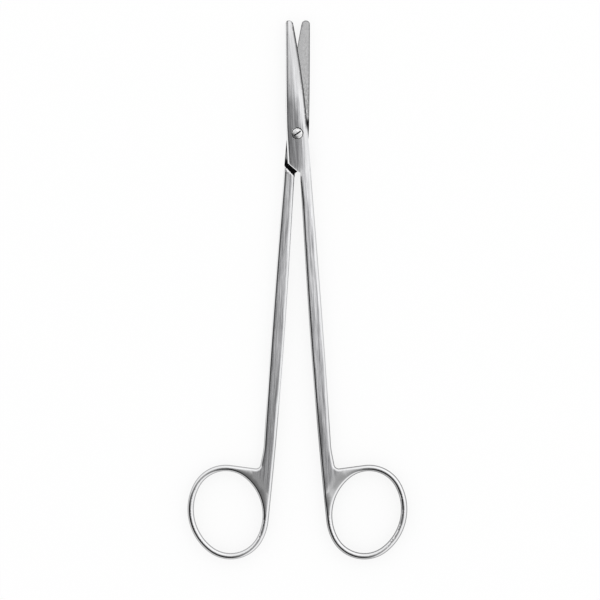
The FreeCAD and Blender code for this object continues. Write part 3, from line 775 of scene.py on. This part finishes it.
def screw_tree():
    """A turned screw with a crowned head that leans a little, and a sawn slot whose faces are painted black as
    a painted shadow.
    """
    tree = bpy.data.node_groups.new("turned_screw", "GeometryNodeTree")
    tree.interface.new_socket("Screw", in_out="OUTPUT", socket_type="NodeSocketGeometry")
    for name in (
        "Thread Radius", "Thread Length", "Journal Radius", "Journal Length", "Head Radius", "Head Height",
        "Crown", "Lean", "Slot Width", "Slot Floor", "Slot Angle", "Saw Radius",
    ):
        tree.interface.new_socket(name, in_out="INPUT", socket_type="NodeSocketFloat")
    tree.interface.new_socket("Steel", in_out="INPUT", socket_type="NodeSocketMaterial")
    given = node(tree, "NodeGroupInput").outputs

    # Three bars, one on top of the other
    low, bars = 0.0, []
    for part, size in (("Thread", "Length"), ("Journal", "Length"), ("Head", "Height")):
        length = given[f"{part} {size}"]
        middle = node(tree, "ShaderNodeMath", {"operation": "MULTIPLY_ADD"}, {0: length, 1: 0.5, 2: low})
        place = node(tree, "ShaderNodeCombineXYZ", {}, {"Z": middle.outputs[0]})
        bar = node(tree, "GeometryNodeMeshCylinder", {"fill_type": "TRIANGLE_FAN"}, {
            "Vertices": BAR_SIDES, "Fill Segments": BAR_RINGS,
            "Radius": given[f"{part} Radius"], "Depth": length,
        })
        moved = node(tree, "GeometryNodeTransform", {}, {
            "Geometry": bar.outputs["Mesh"], "Translation": place.outputs[0],
        })
        bars.append(moved.outputs[0])
        low = node(tree, "ShaderNodeMath", {"operation": "ADD"}, {0: low, 1: length}).outputs[0]

    # The head's face, raised to a crown that falls off near its rim, and leaning a little
    spot = node(tree, "GeometryNodeInputPosition").outputs[0]
    axes = node(tree, "ShaderNodeSeparateXYZ", {}, {0: spot}).outputs
    flat = node(tree, "ShaderNodeCombineXYZ", {}, {"X": axes["X"], "Y": axes["Y"]})
    radius = node(tree, "ShaderNodeVectorMath", {"operation": "LENGTH"}, {0: flat.outputs[0]}).outputs["Value"]
    share = node(tree, "ShaderNodeMath", {"operation": "DIVIDE"}, {0: radius, 1: given["Head Radius"]})
    fall = node(tree, "ShaderNodeMath", {"operation": "POWER"}, {0: share.outputs[0], 1: CROWN_CURVE})
    left = node(tree, "ShaderNodeMath", {"operation": "SUBTRACT"}, {0: 1.0, 1: fall.outputs[0]})
    rise = node(tree, "ShaderNodeMath", {"operation": "MULTIPLY"}, {0: left.outputs[0], 1: given["Crown"]})
    across = node(tree, "ShaderNodeMath", {"operation": "ADD"}, {0: axes["X"], 1: axes["Y"]})
    lean = node(tree, "ShaderNodeMath", {"operation": "MULTIPLY"}, {0: across.outputs[0], 1: given["Lean"]})
    lift = node(tree, "ShaderNodeMath", {"operation": "SUBTRACT"}, {0: rise.outputs[0], 1: lean.outputs[0]})
    edge = node(tree, "ShaderNodeMath", {"operation": "SUBTRACT"}, {0: low, 1: 1e-6})
    on_top = node(tree, "ShaderNodeMath", {"operation": "GREATER_THAN"}, {
        0: axes["Z"], 1: edge.outputs[0],
    })
    offset = node(tree, "ShaderNodeCombineXYZ", {}, {"Z": lift.outputs[0]})
    head = node(tree, "GeometryNodeSetPosition", {}, {
        "Geometry": bars[2], "Selection": on_top.outputs[0], "Offset": offset.outputs[0],
    })
    blank = node(tree, "GeometryNodeMeshBoolean", {"operation": "UNION", "solver": "EXACT"})
    for part in (bars[0], bars[1], head.outputs[0]):
        tree.links.new(part, blank.inputs["Mesh 2"])
    # The screw's own faces carry no painted shade
    unshaded_blank = node(tree, "GeometryNodeStoreNamedAttribute", {"data_type": "FLOAT", "domain": "FACE"}, {
        "Geometry": blank.outputs["Mesh"], "Name": "shade", "Value": 0.0,
    })

    # The round saw, stood on edge above the head, moved along to follow its lean, and turned to the slot
    saw = node(tree, "GeometryNodeMeshCylinder", {}, {
        "Vertices": SAW_SIDES, "Radius": given["Saw Radius"], "Depth": given["Slot Width"],
    })
    upright = node(tree, "GeometryNodeTransform", {}, {
        "Geometry": saw.outputs["Mesh"], "Rotation": (math.pi / 2, 0, 0),
    })
    sideways = node(tree, "ShaderNodeMath", {"operation": "MULTIPLY"}, {
        0: given["Lean"], 1: given["Saw Radius"],
    })
    level = node(tree, "ShaderNodeMath", {"operation": "MULTIPLY"}, {0: sideways.outputs[0], 1: SAW_SHIFT})
    above = node(tree, "ShaderNodeMath", {"operation": "ADD"}, {
        0: given["Slot Floor"], 1: given["Saw Radius"],
    })
    centre = node(tree, "ShaderNodeCombineXYZ", {}, {"X": level.outputs[0], "Z": above.outputs[0]})
    raised = node(tree, "GeometryNodeTransform", {}, {
        "Geometry": upright.outputs[0], "Translation": centre.outputs[0],
    })
    bearing = node(tree, "ShaderNodeCombineXYZ", {}, {"Z": given["Slot Angle"]})
    aimed = node(tree, "GeometryNodeTransform", {}, {
        "Geometry": raised.outputs[0], "Rotation": bearing.outputs[0],
    })
    # Painted shadow: the saw's faces carry shade 1, so the slot's faces are painted black
    slot_shadow_saw = node(tree, "GeometryNodeStoreNamedAttribute", {"data_type": "FLOAT", "domain": "FACE"}, {
        "Geometry": aimed.outputs[0], "Name": "shade", "Value": 1.0,
    })
    sawn = node(tree, "GeometryNodeMeshBoolean", {"operation": "DIFFERENCE", "solver": "EXACT"}, {
        "Mesh 1": unshaded_blank.outputs[0], "Mesh 2": slot_shadow_saw.outputs[0],
    })

    scaled = node(tree, "ShaderNodeVectorMath", {"operation": "SCALE"}, {0: spot, "Scale": 1 / MM})
    grained = node(tree, "GeometryNodeStoreNamedAttribute", {"data_type": "FLOAT_VECTOR", "domain": "POINT"}, {
        "Geometry": sawn.outputs["Mesh"], "Name": "grain", "Value": scaled.outputs[0],
    })
    real = node(tree, "GeometryNodeRealizeInstances", {}, {"Geometry": grained.outputs[0]})
    finished = node(tree, "GeometryNodeSetMaterial", {}, {
        "Geometry": real.outputs[0], "Material": given["Steel"],
    })
    node(tree, "NodeGroupOutput", {}, {"Screw": finished.outputs[0]})
    return tree


# Turned stainless steel, faced off on a lathe and used: brighter and duller patches, a soft highlight.
# Tool marks of about 0.1 mm are too fine to show, and are drawn 0.4 by 0.6 mm.
SCREW_STEEL = steel_finish("screw_steel", ("#c8c8c9", "#fafafa"), 0.32, 0.3, 0.02, 0.625, 0.385)

screw = bpy.data.objects.new("pivot_screw_turned", bpy.data.meshes.new("pivot_screw_turned"))
bpy.context.scene.collection.objects.link(screw)
turning = screw.modifiers.new("turned_screw", "NODES")
turning.node_group = screw_tree()
screw_sizes = {
    "Thread Radius": THREAD_RADIUS * MM, "Thread Length": JOINT_THICK * MM,
    "Journal Radius": JOURNAL_RADIUS * MM, "Journal Length": (JOINT_THICK - SEAT_DEPTH) * MM,
    "Head Radius": HEAD_RADIUS * MM, "Head Height": (SEAT_DEPTH - HEAD_EDGE) * MM,
    "Crown": (HEAD_EDGE + HEAD_CROWN) * MM, "Lean": HEAD_LEAN,
    "Slot Width": SLOT_WIDTH * MM, "Slot Floor": (2 * JOINT_THICK + HEAD_CROWN - SLOT_DEPTH) * MM,
    "Slot Angle": SLOT_ANGLE, "Saw Radius": SAW_RADIUS * MM, "Steel": SCREW_STEEL,
}
for socket in turning.node_group.interface.items_tree:
    if socket.in_out == "INPUT":
        turning[socket.identifier] = screw_sizes[socket.name]
turned_mesh = bpy.data.meshes.new_from_object(screw.evaluated_get(bpy.context.evaluated_depsgraph_get()))
screw.modifiers.remove(turning)
screw.data = turned_mesh
turned_mesh.materials.clear()
turned_mesh.materials.append(SCREW_STEEL)
turned_mesh.polygons.foreach_set("material_index", [0] * len(turned_mesh.polygons))
turned_mesh.shade_smooth()
turned_mesh.set_sharp_from_angle(angle=SHARP_ANGLE)
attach(screw, "lower")
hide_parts("pivot_screw")


# Floor
# A sheet of white paper under the part, just below it. It takes the part's shadow,
# and glows a little for the camera and for reflections, so that it shows white.
FLOOR_SIZE, FLOOR_BELOW, FLOOR_GLOW = 3, -0.0001, 0.8
MIDDLE_Y = -0.05

bpy.ops.mesh.primitive_plane_add(size=FLOOR_SIZE, location=(0, MIDDLE_Y, FLOOR_BELOW))
floor = bpy.context.object
floor.name = "floor"
# Matt white paper: no gloss at all, and a white that stays just short of clipping
paper = bpy.data.materials.new("pale_floor")
paper.use_nodes = True
paper_nodes = paper.node_tree
matt = paper_nodes.nodes["Principled BSDF"]
matt.inputs["Base Color"].default_value = colour("#fcfcfc")
matt.inputs["Roughness"].default_value = 0.9
matt.inputs["Specular IOR Level"].default_value = 0.0
floor.data.materials.append(paper)
rays = node(paper_nodes, "ShaderNodeLightPath").outputs
seen = node(paper_nodes, "ShaderNodeMath", {"operation": "MAXIMUM"}, {
    0: rays["Is Camera Ray"], 1: rays["Is Glossy Ray"],
})
glow = node(paper_nodes, "ShaderNodeMath", {"operation": "MULTIPLY"}, {0: seen.outputs[0], 1: FLOOR_GLOW})
white = node(paper_nodes, "ShaderNodeEmission", {}, {"Strength": 1.0})
paper_mix = node(paper_nodes, "ShaderNodeMixShader", {}, {
    0: glow.outputs[0], 1: matt.outputs[0], 2: white.outputs[0],
})
paper_nodes.links.new(paper_mix.outputs[0], paper_nodes.nodes["Material Output"].inputs["Surface"])


# Light
# A white room for all but reflections. Reflections see a studio that is graded from a dark side to a
# bright one, with a white band low down all round, and one soft lamp gives the part its shadow.
ROOM_WHITE, LOW_WHITE = (0.98, 0.98, 0.98, 1), (1.1, 1.1, 1.1, 1)
LOW_FROM, LOW_TO = 0.15, 0.45
TO_BRIGHT, TO_SIDE, SIDE_GAIN = (0.7071, 0.7071, 0), (-0.7071, 0.7071, 0), 0.8
STUDIO_TONES = (
    (0.0, 0.4), (0.12, 0.12), (0.2, 0.02), (0.37, 0.03), (0.46, 0.2),
    (0.5, 0.36), (0.53, 0.66), (0.57, 0.95), (1.0, 1.05),
)
LAMP_PLACE, LAMP_SIZE, LAMP_POWER = (0.45, 0.40, 0.75), 1.0, 0.5

scene = bpy.context.scene
world = bpy.data.worlds.new("studio")
scene.world = world
world.use_nodes = True
sky = world.node_tree
room = sky.nodes["Background"]
room.inputs["Color"].default_value = ROOM_WHITE
way = node(sky, "ShaderNodeTexCoord").outputs["Generated"]
to_bright, to_side, to_top = [
    node(sky, "ShaderNodeVectorMath", {"operation": "DOT_PRODUCT"}, {0: way, 1: direction}).outputs["Value"]
    for direction in (TO_BRIGHT, TO_SIDE, (0, 0, 1))
]
squared = node(sky, "ShaderNodeMath", {"operation": "MULTIPLY"}, {0: to_side, 1: to_side})
sides = node(sky, "ShaderNodeMath", {"operation": "MULTIPLY"}, {0: squared.outputs[0], 1: SIDE_GAIN})
slant = node(sky, "ShaderNodeMath", {"operation": "ADD"}, {0: to_bright, 1: sides.outputs[0]})
halved = node(sky, "ShaderNodeMath", {"operation": "MULTIPLY"}, {0: slant.outputs[0], 1: 0.5})
place = node(sky, "ShaderNodeMath", {"operation": "ADD"}, {0: halved.outputs[0], 1: 0.5})
dome = node(sky, "ShaderNodeValToRGB", {}, {"Fac": place.outputs[0]})
while len(dome.color_ramp.elements) < len(STUDIO_TONES):
    dome.color_ramp.elements.new(0.5)
for stop, (share, level) in zip(dome.color_ramp.elements, STUDIO_TONES):
    stop.position = share
    stop.color = (level, level, level, 1)
above = node(sky, "ShaderNodeMapRange", {"interpolation_type": "SMOOTHSTEP"}, {
    "Value": to_top, "From Min": LOW_FROM, "From Max": LOW_TO,
})
graded = node(sky, "ShaderNodeMix", {"data_type": "RGBA"}, {
    "Factor": above.outputs["Result"], "A": LOW_WHITE, "B": dome.outputs["Color"],
})
studio = node(sky, "ShaderNodeBackground", {}, {"Color": graded.outputs["Result"]})
glossy = node(sky, "ShaderNodeLightPath").outputs["Is Glossy Ray"]
surround = node(sky, "ShaderNodeMixShader", {}, {0: glossy, 1: room.outputs[0], 2: studio.outputs[0]})
sky.links.new(surround.outputs[0], sky.nodes["World Output"].inputs["Surface"])

lamp_light = bpy.data.lights.new("key", "AREA")
lamp_light.shape = "RECTANGLE"
lamp_light.size = LAMP_SIZE
lamp_light.size_y = LAMP_SIZE
lamp_light.energy = LAMP_POWER
lamp = bpy.data.objects.new("key", lamp_light)
lamp.location = LAMP_PLACE
lamp.rotation_euler = (Vector((0, MIDDLE_Y, 0)) - lamp.location).to_track_quat("-Z", "Y").to_euler()
scene.collection.objects.link(lamp)


# Camera
# Two metres straight above the part, through a long lens, so that nothing leans outwards in the picture.
CAMERA_PLACE, LENS, SENSOR = (0.000867, -0.05547, 2.0022), 360, 36

view = bpy.data.cameras.new("camera")
view.sensor_width = SENSOR
view.lens = LENS
view.clip_end = 10
camera = bpy.data.objects.new("camera", view)
camera.location = CAMERA_PLACE
scene.collection.objects.link(camera)
scene.camera = camera
scene.view_settings.view_transform = "Standard"
